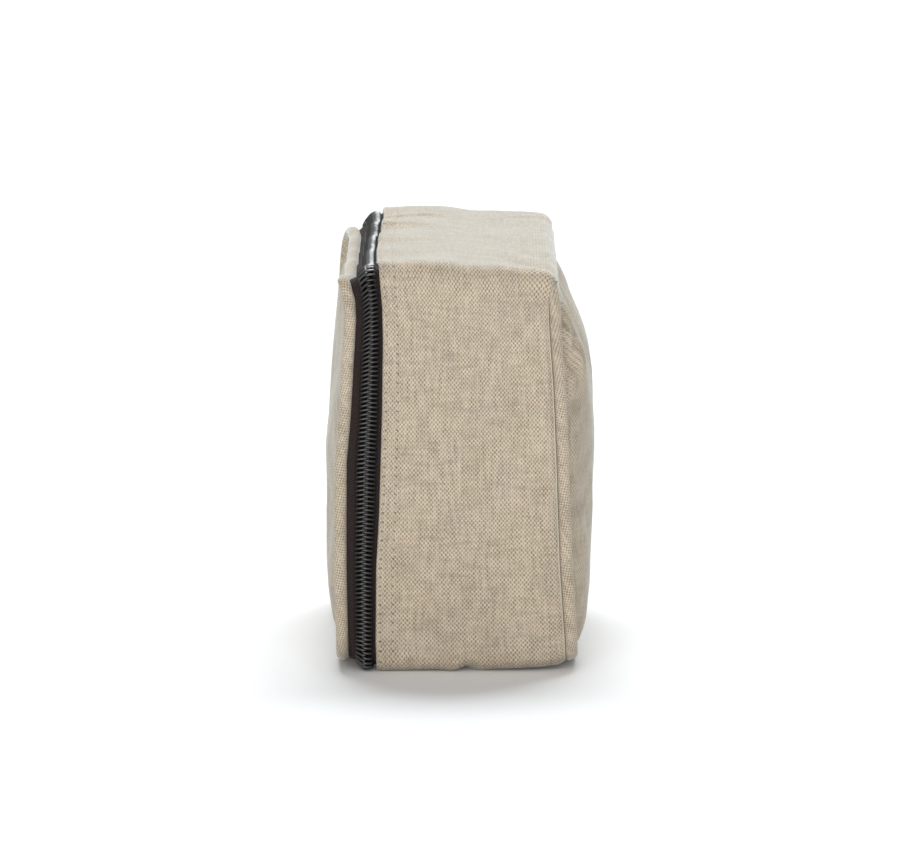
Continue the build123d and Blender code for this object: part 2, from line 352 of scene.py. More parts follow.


# %% [markdown]
# ## Zip tape, nylon and metal
#
# Zip tape is woven in a herringbone: fine ribs that lean one way in one band and the other way in the
# next. A triangle wave across the tape, added to the length along it, turns the ribs at each band. The
# coils are smooth nylon with a soft shine, and the slider is cast metal with a black finish that has worn
# a little on its edges; here that finish only varies in faint patches of tone and roughness.

# %% Herringbone tape, coil nylon, sewing thread and black metal
def herringbone(name, light, dark, rib, band):
    """Ribs rib apart, which turn back every band."""
    tape = Finish(name)
    place = tape.node("UVMap", {"uv_map": "cloth"})
    along = tape.node("SeparateXYZ", {}, {0: place})
    ribs = ((along + tape.zigzag(along.beside("Y"), band)) * (2 * pi / rib)).sine() * 0.5 + 0.5
    fuzz = tape.noise(place, 900.0, 2.0)
    # Painted shade: the tape is darker between its ribs, where shade falls; the fuzz adds uneven tone.
    shade = tape.smooth(ribs * 0.7 + fuzz * 0.5, 0.2, 1.1)
    tone = tape.mix(shade, dark, light)
    normal = tape.node("Bump", {}, {"Strength": 0.6, "Distance": 0.1 * mm, "Height": ribs})
    sockets = {"Base Color": tone, "Roughness": 0.8, "Normal": normal, "Specular IOR Level": 0.2}
    shader = tape.node("BsdfPrincipled", {}, sockets)
    tape.node("OutputMaterial", {}, {"Surface": shader})
    return tape.data


def plain(name, light, dark, scale, roughness, metallic=0.0, relief=0.02, specular=0.5):
    """A smooth finish with faint patches of tone, wear and roughness."""
    finish = Finish(name)
    place = finish.node("TexCoord").beside("Object")
    patches = finish.noise(place, scale, 3.0)
    tone = finish.mix(finish.smooth(patches, 0.35, 0.7), dark, light)
    rough = roughness + 0.2 * (patches - 0.5)
    normal = finish.node("Bump", {}, {"Strength": 0.3, "Distance": relief * mm, "Height": patches})
    sockets = {"Base Color": tone, "Roughness": rough, "Metallic": metallic, "Normal": normal,
               "Specular IOR Level": specular}
    shader = finish.node("BsdfPrincipled", {}, sockets)
    finish.node("OutputMaterial", {}, {"Surface": shader})
    return finish.data


tape_rib = 1.0 * mm
tape_band = 0.9 * mm
tape_cloth = herringbone("zip tape", (0.05, 0.034, 0.032, 1.0), (0.003, 0.002, 0.002, 1.0), tape_rib,
                         tape_band)
coil_nylon = plain("coil nylon", (0.007, 0.006, 0.006, 1.0), (0.003, 0.002, 0.002, 1.0), 700.0, 0.38,
                   specular=0.6)
coil_cord = plain("coil cord", (0.008, 0.006, 0.006, 1.0), (0.002, 0.002, 0.002, 1.0), 1500.0, 0.9,
                  specular=0.05)
thread_cotton = plain("sewing thread", (0.66, 0.585, 0.47, 1.0), (0.48, 0.42, 0.33, 1.0), 2500.0, 0.7,
                      relief=0.1)
black_metal = plain("black metal", (0.055, 0.052, 0.05, 1.0), (0.028, 0.026, 0.026, 1.0), 900.0, 0.36,
                    metallic=0.8, relief=0.01)
print("zip finishes made:", tape_cloth.name, coil_nylon.name, black_metal.name)


# %% [markdown]
# ## The outline that all strips follow
#
# Gusset, zip, piping and bindings all run round the same rounded outline, seen from the front. One
# function walks it: it gives the place and the outward direction for a length s, from the middle of the
# base up the near end. A strip is then a list of sections along s, and each section is a few points across
# the bag.

# %% Walk round the outline
arc_steps = 24


def walk():
    """Places and outward angles round the outline, and the length walked to each."""
    inner_x = half_length - corner_radius
    inner_z = height - corner_radius
    corners = [(inner_x, corner_radius, -90), (inner_x, inner_z, 0), (-inner_x, inner_z, 90),
               (-inner_x, corner_radius, 180)]
    places = [(0.0, 0.0, radians(-90))]
    for x, z, start in corners:
        for step in range(arc_steps + 1):
            angle = radians(start + 90 * step / arc_steps)
            places.append((x + corner_radius * cos(angle), z + corner_radius * sin(angle), angle))
    places.append((0.0, 0.0, radians(270)))
    places = np.array(places)
    runs = np.hypot(np.diff(places[:, 0]), np.diff(places[:, 1]))
    return places, np.concatenate([[0.0], np.cumsum(runs)])


outline_places, outline_lengths = walk()
perimeter = outline_lengths[-1]
print("outline", round(perimeter, 4), "m round")


def on_outline(s):
    """Place and outward direction at length s."""
    s = np.mod(s, perimeter)
    x, z, angle = (np.interp(s, outline_lengths, outline_places[:, k]) for k in range(3))
    return x, z, np.cos(angle), np.sin(angle)


def near_s(z):
    """Length at height z on the straight part of the near end."""
    return half_length - corner_radius + corner_radius * pi / 2 + (z - corner_radius)


def far_s(z):
    """Length at height z on the straight part of the far end."""
    return perimeter - near_s(z)


# %% [markdown]
# ## How the cloth has settled
#
# A filled bag is never a true box. At the near end its seams lean: the lid's edge and the zip tip back
# towards the top, and the back seam spreads towards the base. The top is highest along the hem and sinks
# towards the lid and the back. The stiff hem makes the corners squarer than the pipings beside it. Each of
# these is a table of millimetres at some places, and one function moves every point by all of them, so
# that neighbours move together. The lean of the zip fades out towards the far end, where the slider has to
# run straight. On top of that come soft waves, and single creases, each a pressed line between two points.

# %% Lean, sag and square corners
# lean is towards the back, at these heights on the near end
lean_heights = [0, 12, 42, 64, 84, 104, 133, 145, 153, 159, 163]
lid_lean = [0.8, 0.6, 0.0, 0.0, 0.1, 1.8, 3.3, 3.9, 3.4, 0.8, 0.2]
hem_lean = [-1.0, -1.4, -1.2, 0.0, 0.6, 1.2, 1.6, 1.3, 0.6, 0.1, -0.1]
back_lean = [3.4, 2.9, 1.0, 0.2, -0.4, -1.2, -1.9, -2.3, -2.7, -3.1, -3.4]
# lean of the back seam and panel that is the same all along, less a part of it at the near end
back_sag_heights = [105, 115, 122, 130, 138, 145, 163]
back_sag = [0.0, -0.8, -2.0, -3.6, -4.7, -4.8, -4.8]
near_sag_lost = 0.75
# lean of the lid's edge and the hem along the top
top_places = [-120, -112, -90, -33, 40, 90, 104, 112, 120]
lid_top_lean = [0.2, 3.0, 4.6, 4.4, 3.8, 3.0, 1.8, 0.5, 0.0]
hem_top_lean = [0.0, 0.3, 0.8, 0.0, -1.2, -1.2, -0.8, -0.3, 0.0]
lean_top_start = 138
lean_top_reach = 24
# how far the top drops, the ends lift off the floor and the corners push out, at these places across
across_places = [-51, -46, -42, -38.4, -32.8, -10, 20, 30, 38.7, 42, 46]
near_drop = [-3.6, -3.4, -2.0, 0.0, 2.2, 1.2, -0.2, -1.0, -1.2, -5.6, -6.2]
far_drop = [-5.0, -4.8, -2.0, 0.8, 2.8, 2.4, 1.2, 1.2, 0.2, -4.6, -5.2]
end_lift = [3.8, 3.4, 1.2, 0.0, 0.0, 0.3, 0.6, 1.0, 2.2, 4.4, 4.6]
top_push = [2.6, 2.6, 2.4, 2.6, 3.0, 3.0, 3.0, 3.0, 2.8, 1.0, 0.4]
base_push = [0.0, 0.0, 1.4, 3.2, 3.2, 2.8, 2.6, 2.2, 1.0, 0.0, 0.0]
drop_start = 0.55
lift_start = 70
lift_reach = 50
lift_height = 34
floor_clearance = 0.02


def smoothstep(value):
    value = np.clip(value, 0, 1)
    return value * value * (3 - 2 * value)


def settled(points):
    """Where points of the bag as drawn have come to lie, in metres."""
    x, y, z = (points[..., k] / mm for k in range(3))
    inner = (half_length - corner_radius) / mm
    radius = corner_radius / mm
    tall = height / mm
    near = smoothstep(0.5 + 0.5 * x / inner)
    high = smoothstep((z - lean_top_start) / lean_top_reach)
    lid_side = near * np.interp(z, lean_heights, lid_lean) + high * np.interp(x, top_places, lid_top_lean)
    hem_side = near * np.interp(z, lean_heights, hem_lean) + high * np.interp(x, top_places, hem_top_lean)
    back_side = near * np.interp(z, lean_heights, back_lean)
    back_side = back_side + (1 - near_sag_lost * near) * np.interp(z, back_sag_heights, back_sag)
    front = np.clip((y - lid_edge_y / mm) / ((hem_y - lid_edge_y) / mm), 0, 1)
    rear = np.clip((y - hem_y / mm) / ((seam_y - hem_y) / mm), 0, 1)
    lean = (lid_side * (1 - front) + hem_side * front) * (1 - rear) + back_side * rear
    drop = near * np.interp(y, across_places, near_drop) + (1 - near) * np.interp(y, across_places, far_drop)
    at_end = smoothstep((np.abs(x) - lift_start) / lift_reach)
    lift = np.interp(y, across_places, end_lift) * at_end * (1 - smoothstep(z / lift_height))
    past_x = np.clip(np.abs(x) - inner, 0, None)
    past_top = np.clip(z - (tall - radius), 0, None)
    past_base = np.clip(radius - z, 0, None)
    past_z = past_top + past_base
    reach = np.maximum(np.hypot(past_x, past_z), 1e-6)
    diagonal = (2 * past_x * past_z / reach ** 2) ** 3 * reach / radius
    top_out = np.interp(y, across_places, top_push) * (past_top > 0)
    push = diagonal * (top_out + np.interp(y, across_places, base_push) * (past_base > 0))
    moved_x = x + np.sign(x) * push * past_x / reach
    dropped = drop * smoothstep((z / tall - drop_start) / (1 - drop_start))
    moved_z = z + push * (past_top - past_base) / reach + dropped + lift
    return np.stack([moved_x, y + lean, np.maximum(moved_z, floor_clearance)], -1) * mm


hem_corner = settled(np.array([half_length, hem_y, height]))
print("the hem's upper near corner settles to", [round(float(v), 4) for v in hem_corner])

# %% Waves and creases
# size in mm, steps of phase per mm along x, y and z, and the first phase
waves = [
    (0.40, 0.0, 0.105, 0.012, 0.6),
    (0.25, 0.0, 0.190, -0.030, 2.1),
    (0.30, 0.055, 0.030, 0.0, 1.0),
    (0.22, 0.098, -0.045, 0.0, 4.0),
    (0.16, 0.031, 0.07, 0.085, 3.2),
    (0.12, 0.0, 0.33, 0.06, 5.0),
]

# both ends of the line, its width and how deep it is, all in mm
creases = [
    ((-76, -29, 163), (-72, -2, 163), 3.0, 1.7),
    ((-40, -31, 163), (-36, -10, 163), 2.6, 1.5),
    ((24, -30, 163), (30, -10, 163), 4.0, 0.7),
    ((112, 0, 0), (117, 5, 4), 3.0, 1.9),
    ((117, 3, 5), (119, 12, 6), 3.0, 0.6),
    ((120, -25, 20), (120, -20, 82), 5.5, 0.7),
    ((-120, 8, 2), (-120, 22, 16), 3.0, 0.9),
    ((112, 38, 163), (60, 16, 163), 3.4, 1.2),
    ((70, 38, 163), (36, 24, 163), 3.4, 0.9),
    ((-90, 38, 163), (-84, 24, 163), 3.0, 0.8),
    ((120, 37, 150), (120, 24, 128), 4.0, 0.7),
    ((-120, 38, 148), (-120, 25, 140), 4.0, 0.8),
]

top_wave_length = 56 * mm
top_wave_crest = 60 * mm
top_wave_size = 1.1
top_wave_fade = 16 * mm


def off_segment(points, start, end):
    """Distance of each point from the segment between start and end, and how far along it the point is."""
    start, end = np.array(start, float), np.array(end, float)
    way = end - start
    share = np.clip(((points - start) @ way) / (way @ way), 0, 1)
    return np.linalg.norm(points - start - share[..., None] * way, axis=-1), share


def pressed(x, y, z, lines, ridge=0.35):
    """How far the creases press the cloth in, in metres.

    Each has a low ridge on both sides and fades to its end. One with a depth below zero is a raised fold.
    """
    points = np.stack([x, y, z], -1) / mm
    total = np.zeros(x.shape)
    for start, end, width, depth in lines:
        apart, share = off_segment(points, start, end)
        off = apart / width
        fade = 1 - 0.9 * share ** 2
        total += depth * fade * (np.exp(-off ** 2) - ridge * np.exp(-((off - 2.0) / 0.9) ** 2))
    return total * mm


def bulge(x, y, z, nz):
    """How far the gusset's cloth stands out from the outline, in metres."""
    total = np.zeros(x.shape)
    for size, kx, ky, kz, phase in waves:
        total += size * np.sin((kx * x + ky * y + kz * z) / mm + phase)
    fall = np.exp(-np.clip(y - hem_y, 0, None) / top_wave_fade)
    turn = 2 * pi * (x - top_wave_crest) / top_wave_length
    total += np.clip(nz, 0, 1) * top_wave_size * fall * np.cos(turn)
    held = smoothstep((z / mm - 1) / 14) * np.clip(np.abs(seam_y - y) / (14 * mm), 0.15, 1)
    by_slider = smoothstep((-x / mm - 92) / 22) * (1 - smoothstep((y - hem_y) / (9 * mm)))
    return total * held * (1 - by_slider) * mm - pressed(x, y, z, creases)


seam_roll = 3.2 * mm
overhang = 4.3 * mm
overhang_width = 10 * mm
overhang_edge = 4.5 * mm
overhang_dip = 0.3


def settle(s, y, inset, over=0.0):
    """Places on the bag's walls: s along the outline, y across, and inset below the outer surface.

    over is how far the cloth rolls out over the back piping where it lies level, along the top.
    """
    s, y, inset = np.broadcast_arrays(np.asarray(s, float), y, inset)
    x, z, nx, nz = on_outline(s)
    out = bulge(x, y, z, nz) - inset
    places = settled(np.stack([x + nx * out, y, z + nz * out], -1))
    level = np.clip(nz, 0, 1)
    places[..., 1] += over * level * smoothstep((y - seam_y) / overhang_width + 1)
    at_edge = np.clip((y - seam_y) / overhang_edge + 1, 0, 1) ** 2
    places[..., 2] -= overhang_dip * over * level * at_edge
    return places


print(len(waves), "waves and", len(creases), "creases on the strips")

# %% [markdown]
# ## Skins made of sections
#
# Nearly every soft piece here is a row of closed sections with a skin over them. One helper makes that
# mesh, adds the cloth map in metres and keeps the fold lines sharp. Another says which solid the piece
# stands for and which body it moves with.

# %% Skin a row of sections, and hand a piece to its body
sharp_angle = radians(48)


def face_out(mesh, weld=0.0):
    """Turn every face outward. Points nearer to each other than weld are joined first."""
    build = bmesh.new()
    build.from_mesh(mesh)
    if weld:
        bmesh.ops.remove_doubles(build, verts=build.verts, dist=weld)
    bmesh.ops.recalc_face_normals(build, faces=build.faces)
    build.to_mesh(mesh)
    build.free()


def placed(name, mesh, material):
    """An object for a mesh with smooth faces of one material, put into the scene."""
    mesh.polygons.foreach_set("use_smooth", [True] * len(mesh.polygons))
    mesh.materials.append(material)
    made = bpy.data.objects.new(name, mesh)
    bpy.context.scene.collection.objects.link(made)
    return made


def skin(name, sections, along, around, material, ring=False):
    """A closed mesh over closed sections. along and around are lengths of the cloth, for its map."""
    rows, columns = sections.shape[:2]
    sections[..., 2] = np.maximum(sections[..., 2], floor_clearance * mm)
    i = np.arange(rows if ring else rows - 1)[:, None]
    j = np.arange(columns)[None, :]
    next_row = (i + 1) % rows
    next_column = (j + 1) % columns
    corners = [i * columns + j, next_row * columns + j, next_row * columns + next_column,
               i * columns + next_column]
    quads = np.stack(corners, -1).reshape(-1, 4)
    u = np.stack([along[i] + 0 * j, along[i + 1] + 0 * j, along[i + 1] + 0 * j, along[i] + 0 * j], -1)
    v = np.stack([around[j] + 0 * i, around[j] + 0 * i, around[j + 1] + 0 * i, around[j + 1] + 0 * i], -1)
    places = np.stack([u, v], -1).reshape(-1, 2)
    faces = quads.tolist()
    if not ring:
        faces.append(list(range(columns)))
        faces.append(list(range((rows - 1) * columns, rows * columns)))
        for end in (0, rows - 1):
            cap = np.stack([np.full(columns, along[end]), around[:columns]], -1)
            places = np.concatenate([places, cap])
    mesh = bpy.data.meshes.new(name)
    mesh.from_pydata(sections.reshape(-1, 3).tolist(), [], faces)
    mesh.uv_layers.new(name="cloth").uv.foreach_set("vector", places.astype(np.float32).ravel())
    face_out(mesh)
    made = placed(name, mesh, material)
    mesh.set_sharp_from_angle(angle=sharp_angle)
    return made


def dress(piece, body, slot, *nodes):
    """The piece rides on body and stands for these solids. slot is not used."""
    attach(piece, body)
    if nodes:
        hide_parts(*nodes)
    return piece


def lengths(points):
    """Length walked along a list of section points, back to the first."""
    closed = np.concatenate([points, points[:1]])
    return np.concatenate([[0.0], np.cumsum(np.linalg.norm(np.diff(closed, axis=0), axis=1))])


def strip(name, material, section, start, end, step=2 * mm, ring=False, over=0.0):
    """A strip along the outline from start to end, with a closed section of (y, inset) points."""
    section = np.array(section)
    count = int(round((end - start) / step))
    along = np.linspace(start, end, count + 1)
    stations = along[:-1] if ring else along
    sections = settle(stations[:, None], section[None, :, 0], section[None, :, 1], over)
    around = section[0, 0] + lengths(section)
    return skin(name, sections, along, around, material, ring)


def band(low_y, high_y, outer, inner, spacing=1.5 * mm):
    """A flat section from low_y to high_y between two insets, with slightly rounded edges."""
    count = max(2, int(round((high_y - low_y) / spacing)))
    y = np.linspace(low_y, high_y, count + 1)
    middle = (outer + inner) / 2
    rounding = min(0.3 * mm, (inner - outer) / 2)
    top = [(v, outer) for v in y[1:-1]]
    bottom = [(v, inner) for v in y[-2:0:-1]]
    left = [(low_y + rounding, inner), (low_y, middle), (low_y + rounding, outer)]
    right = [(high_y - rounding, outer), (high_y, middle), (high_y - rounding, inner)]
    return left + top + right + bottom


print("folds sharper than", round(float(np.degrees(sharp_angle))), "degrees stay sharp")

# %% [markdown]
# ## The gusset
#
# The gusset is one strip of canvas. Along the zip its edge is folded under and sewn down twice, so the
# edge is round and two layers thick there. Along the back it dives into the seam beside the piping. The
# section is drawn once, from the seam over the outside to the fold and back along the inside, and swept
# round the outline.

# %% Make the gusset
fold_steps = 6
cloth_share = 0.97
seam_depth = 1.7 * mm
gusset_start = base_half
gusset_end = perimeter - base_half
thickness = cloth_share * canvas


def seam_dip(y):
    """How deep the cloth has rolled in at the back seam."""
    return seam_depth * np.clip(1 - (seam_y - y) / seam_roll, 0, 1) ** 2


fold_y = hem_y + canvas
near_seam = seam_y - seam_roll
hem_inside = hem_y + hem_width
outer_y = np.concatenate([np.linspace(fold_y, near_seam, 44)[:-1], np.linspace(near_seam, seam_y, 6)])
gusset_section = [(y, seam_dip(y)) for y in outer_y]
gusset_section += [(y, thickness + seam_dip(y)) for y in np.linspace(seam_y, hem_inside, 26)]
gusset_section += [(y, 2 * canvas) for y in np.linspace(hem_inside, fold_y, 7)]
for step in range(1, fold_steps):
    turn = pi * step / fold_steps
    gusset_section.append((fold_y - canvas * sin(turn), canvas + canvas * cos(turn)))
gusset = strip("gusset", canvas_cloth, gusset_section, gusset_start, gusset_end, over=overhang)
dress(gusset, "bag_body", "canvas", "gusset_outer")
print("gusset:", len(gusset.data.polygons), "faces")

# %% [markdown]
# ## The base
#
# The base is a plain strip between the ends of the gusset. It lies flat, because the bag stands on it, and
# its front edge turns up a little where it meets the piping of the lid.

# %% Make the base strip
def level_strip(name, material, low, high, x_end, y_low, y_high, curl=0.0):
    """A strip that lies level between the heights low and high. curl lifts its front edge."""
    x = np.linspace(-x_end, x_end, 96)
    section = np.array(band(y_low, y_high, low, high, 2 * mm))
    y = section[None, :, 0] + 0 * x[:, None]
    lift = curl * np.clip(1 - (y - y_low) / (5 * mm), 0, 1) ** 2
    z = section[None, :, 1] + lift
    sections = settled(np.stack([x[:, None] + 0 * y, y, z], -1))
    return skin(name, sections, x, section[0, 0] + lengths(section), material)


base = level_strip("base", canvas_cloth, floor_clearance * mm, canvas, base_half, base_front_y, seam_y,
                   curl=0.5 * mm)
dress(base, "bag_body", "canvas", "base_outer")
base_inside = level_strip("base_lining", lining_cloth, canvas, canvas + lining, base_half,
                          base_front_y + 1 * mm, seam_y)
dress(base_inside, "bag_body", "lining", "base_lining")
print("base", round(2 * base_half, 4), "m long")

# %% [markdown]
# ## The pipings
#
# Each piping is a cord with a strip of canvas folded round it. The strip is cut on the bias so that it can
# turn the corners, and its yarns run across the piping at an angle. The tube is a round section swept
# round the whole outline, a little uneven where the cloth gathers.

# %% Make the pipings and their cords
def round_section(y, inset, radius, sides):
    """Points of a circle, as (y, inset)."""
    turns = np.arange(sides) * 2 * pi / sides
    return [(y + radius * cos(turn), inset + radius * sin(turn)) for turn in turns]


cord_radius = 1.4 * mm


def piping(name, y, body, cover_node, cord_node):
    """A tube of canvas round the whole outline, and the cord in it."""
    cover_section = round_section(y, piping_inset, piping_radius, 20)
    cover = strip(name, piping_cloth, cover_section, 0, perimeter, 1.5 * mm, ring=True)
    dress(cover, body, "piping", cover_node)
    cord_section = round_section(y, piping_inset, cord_radius, 8)
    cord = strip(name + "_cord", cord_cloth, cord_section, 0, perimeter, 3 * mm, ring=True)
    dress(cord, body, "cord", cord_node)


piping("back_piping", back_piping_y, "bag_body", "back_piping_cover", "back_piping_cord")
piping("lid_piping", lid_piping_y, "lid", "lid_piping_cover", "lid_piping_cord")
print("pipings at", round(back_piping_y, 4), "and", round(lid_piping_y, 4))

# %% [markdown]
# ## The swollen panels
#
# The back panel and the lid are flat pieces of canvas sewn into a frame that is a little too small for
# them, and pushed out by what is in the bag. So they swell, and they wrinkle where the cloth is gathered,
# above all at the upper corners. The first part draws the swell from a short table of heights, on a grid
# whose rows grow shorter where the corners are round. The second part is Blender's cloth simulation: the
# rim is pinned, the cloth is cut larger than its frame by a few hundredths, and a light pressure from
# inside makes it buckle as canvas does. Only its wrinkles are kept, because the broad shape is drawn
# already. Last, the sharpest folds at the corners are pressed into a grid with twice as many points.

# %% Draw a panel's swell on a grid
panel_gap = 0.1 * mm
panel_inset = piping_inset + piping_radius + panel_gap
panel_half = half_length - panel_inset
panel_tall = height / 2 - panel_inset
panel_corner = corner_radius - panel_inset
panel_columns = 92
panel_rows = 62
step_height = 62.0 * mm
end_rise = 11
tuck_depth = 1.4 * mm
tuck_width = 1.5
ripple_edge = 15

back_heights = [5.4, 7, 14, 20, 28, 44, 60, 83, 103, 112, 120, 128, 136, 142, 148, 155, 157.6]
back_swell = [0.0, 0.24, 0.44, 0.46, 0.55, 0.75, 0.85, 1.0, 1.0, 1.04, 1.1, 1.0, 0.7, 0.42, 0.2, 0.05, 0.0]
lid_heights = [5.4, 12, 20, 32, 40, 50, 61.0, 62.4, 84, 108, 120, 126, 133, 141, 150, 157.6]
lid_swell = [0.0, 0.35, 0.62, 1.0, 0.98, 0.72, 0.6, 0.98, 1.05, 0.95, 0.6, 0.2, -0.1, -0.2, -0.1, 0.0]
ripples = [(0.35, 0.06, 0.05, 1.0), (0.25, -0.045, 0.09, 2.5), (0.15, 0.13, 0.02, 0.4)]


def spread(count, even):
    """Places from -1 to 1, closer together at both ends."""
    t = np.linspace(-1, 1, count)
    return even * t + (1 - even) * np.sin(t * pi / 2)


def drawn_panel(rim_y, crown_y, table):
    """A grid of points on the outer face of a panel: its places across and up, and the points."""
    across = spread(panel_columns, 0.65) * panel_half
    up = np.sort(np.append(spread(panel_rows - 1, 0.6) * panel_tall, step_height - height / 2))
    past = np.clip(np.abs(up) - (panel_tall - panel_corner), 0, panel_corner)
    half = panel_half - panel_corner + np.sqrt(np.maximum(panel_corner ** 2 - past ** 2, 0))
    x = across[None, :] / panel_half * half[:, None]
    z = up[:, None] + 0 * x + height / 2
    from_end = (half[:, None] - np.abs(x)) / mm
    edge = np.minimum(from_end, (panel_tall - np.abs(z - height / 2)) / mm)
    share = np.interp(z / mm, table[0], table[1]) * (1 - np.exp(-from_end / end_rise))
    uneven = sum(size * np.sin((kx * x + kz * z) / mm + phase) for size, kx, kz, phase in ripples)
    swell = abs(crown_y - rim_y) * share + uneven * mm * np.clip(edge / ripple_edge, 0, 1)
    tuck = tuck_depth * np.clip(1 - edge / tuck_width, 0, 1) ** 2
    side = 1 if crown_y > rim_y else -1
    return across, up, np.stack([x, rim_y + side * (swell - tuck), z], -1)


print("panel grid", panel_columns, "by", panel_rows, "points")

# %% Let the cloth buckle
trial_scale = 10
trial_frames = 30
most_moved = 3.5 * mm
smooth_rounds = 70
rim_width = 6 * mm


def off_rim(face):
    """How far each point of a panel is from the panel's straight edges, in metres."""
    return np.minimum(panel_half - np.abs(face[..., 0]), panel_tall - np.abs(face[..., 2] - height / 2))


def blurred(grid):
    """The grid with all but its broad shape smoothed away."""
    for _ in range(smooth_rounds):
        for axis in (0, 1):
            ahead = np.roll(grid, -1, axis)
            behind = np.roll(grid, 1, axis)
            if axis == 0:
                ahead[-1], behind[0] = grid[-1], grid[0]
            else:
                ahead[:, -1], behind[:, 0] = grid[:, -1], grid[:, 0]
            grid = 0.5 * grid + 0.25 * (ahead + behind)
    return grid


def buckled(face, side, cut_larger, gathered):
    """The panel after a cloth simulation. gathered lists places (x, z, radius) with still more cloth."""
    rows, columns = face.shape[:2]
    index = np.arange(rows * columns).reshape(rows, columns)
    quads = np.stack([index[:-1, :-1], index[:-1, 1:], index[1:, 1:], index[1:, :-1]], -1).reshape(-1, 4)
    mesh = bpy.data.meshes.new("trial")
    mesh.from_pydata((face * trial_scale).reshape(-1, 3).tolist(), [], (quads[:, ::-side]).tolist())
    trial = bpy.data.objects.new("trial", mesh)
    bpy.context.scene.collection.objects.link(trial)
    rim = np.concatenate([index[0], index[-1], index[1:-1, 0], index[1:-1, -1]])
    trial.vertex_groups.new(name="pinned").add([int(v) for v in rim], 1.0, "REPLACE")
    loose = trial.vertex_groups.new(name="loose")
    weight = np.zeros((rows, columns))
    for x, z, radius in gathered:
        apart = np.hypot(face[..., 0] / mm - x, face[..., 2] / mm - z) / radius
        weight = np.maximum(weight, np.exp(-apart ** 2))
    for v, w in enumerate(weight.ravel()):
        loose.add([v], float(w), "REPLACE")
    cloth = trial.modifiers.new("cloth", "CLOTH")
    cloth.point_cache.frame_start = 1
    cloth.point_cache.frame_end = trial_frames
    settings = cloth.settings
    settings.quality = 7
    settings.mass = 0.4
    settings.tension_stiffness = 25
    settings.compression_stiffness = 25
    settings.shear_stiffness = 8
    settings.bending_stiffness = 0.35
    settings.air_damping = 3
    settings.vertex_group_mass = "pinned"
    settings.vertex_group_shrink = "loose"
    settings.shrink_min = -cut_larger[0]
    settings.shrink_max = -cut_larger[1]
    settings.use_pressure = True
    settings.uniform_pressure_force = 0.5
    settings.effector_weights.gravity = 0
    for moment in range(1, trial_frames + 1):
        bpy.context.scene.frame_set(moment)
    result = trial.evaluated_get(bpy.context.evaluated_depsgraph_get()).data
    places = np.empty(rows * columns * 3)
    result.vertices.foreach_get("co", places)
    bpy.context.scene.frame_set(1)
    bpy.data.objects.remove(trial)
    moved = places.reshape(face.shape) / trial_scale - face
    moved = moved - blurred(moved) * np.clip(off_rim(face)[..., None] / rim_width, 0, 1)
    far = np.linalg.norm(moved, axis=-1, keepdims=True)
    print("cloth moved", round(float(far.mean() / mm), 2), "mm on average")
    print("and", round(float(far.max() / mm), 2), "mm at most")
    return face + moved * np.minimum(1, most_moved / np.maximum(far, 1e-9))


def doubled(grid):
    """The grid with a point put between each two, along its first axis, on a smooth curve."""
    before = np.concatenate([2 * grid[:1] - grid[1:2], grid[:-2]])
    after = np.concatenate([grid[2:], 2 * grid[-1:] - grid[-2:-1]])
    between = (9 * (grid[:-1] + grid[1:]) - before - after) / 16
    finer = np.empty((2 * len(grid) - 1,) + grid.shape[1:])
    finer[::2] = grid
    finer[1::2] = between
    return finer


def panel_layer(name, material, drawn, side, inward, depth):
    """A layer of cloth whose outer face lies inward of the panel's face, and which is depth thick."""
    across, up, face = drawn
    outer = face - np.array([0, side * inward, 0])
    inner = outer - np.array([0, side * depth, 0])
    sections = settled(np.concatenate([outer, inner[:, ::-1]], 1))
    around = np.concatenate([across, across[::-1], across[:1]])
    return skin(name, sections, up, around, material)


print("each panel's cloth is let go for", trial_frames, "frames")

# %% Make the panels and their linings
back_creases = [
    ((110, 0, 157), (82, 0, 126), 3.2, 4.0),
    ((114, 0, 156), (92, 0, 126), 2.3, -3.0),
    ((114.5, 0, 150), (97, 0, 122), 1.8, 3.2),
    ((114.8, 0, 145.5), (100, 0, 120), 1.9, -3.0),
    ((114.8, 0, 138), (103, 0, 114), 1.9, 2.8),
    ((110.4, 0, 133), (109.6, 0, 104), 1.5, -1.3),
    ((113.0, 0, 133), (112.4, 0, 100), 1.5, 1.2),
    ((110, 0, 100), (110, 0, 24), 2.0, 0.8),
    ((-113, 0, 155), (-90, 0, 133), 2.8, 2.4),
    ((-114, 0, 149), (-97, 0, 128), 2.2, -1.8),
    ((-114, 0, 141), (-102, 0, 120), 2.2, 1.8),
    ((114, 0, 12), (92, 0, 30), 3.6, 1.1),
    ((-114, 0, 12), (-94, 0, 34), 3.6, 1.2),
]
lid_creases = [
    ((116, 0, 154), (94, 0, 132), 3.6, 1.0),
    ((-116, 0, 154), (-92, 0, 130), 3.6, 1.0),
    ((114, 0, 12), (96, 0, 28), 3.6, 0.7),
    ((-114, 0, 12), (-96, 0, 26), 3.6, 0.7),
]
back_gathers = [(112, 154, 34), (-112, 154, 30), (112, 8, 22), (-112, 8, 24)]
lid_gathers = [(112, 154, 24), (-112, 154, 26), (112, 8, 20), (-112, 8, 20)]
crease_edge = 2.5 * mm
crease_ridge = 0.2
back_swell_depth = 10.6 * mm
lid_swell_depth = 3.4 * mm
back_crown_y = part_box("back_panel_outer")[1].y
back_rim_y = back_crown_y - back_swell_depth
lid_crown_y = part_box("lid_panel_outer")[0].y
lid_rim_y = lid_crown_y + lid_swell_depth


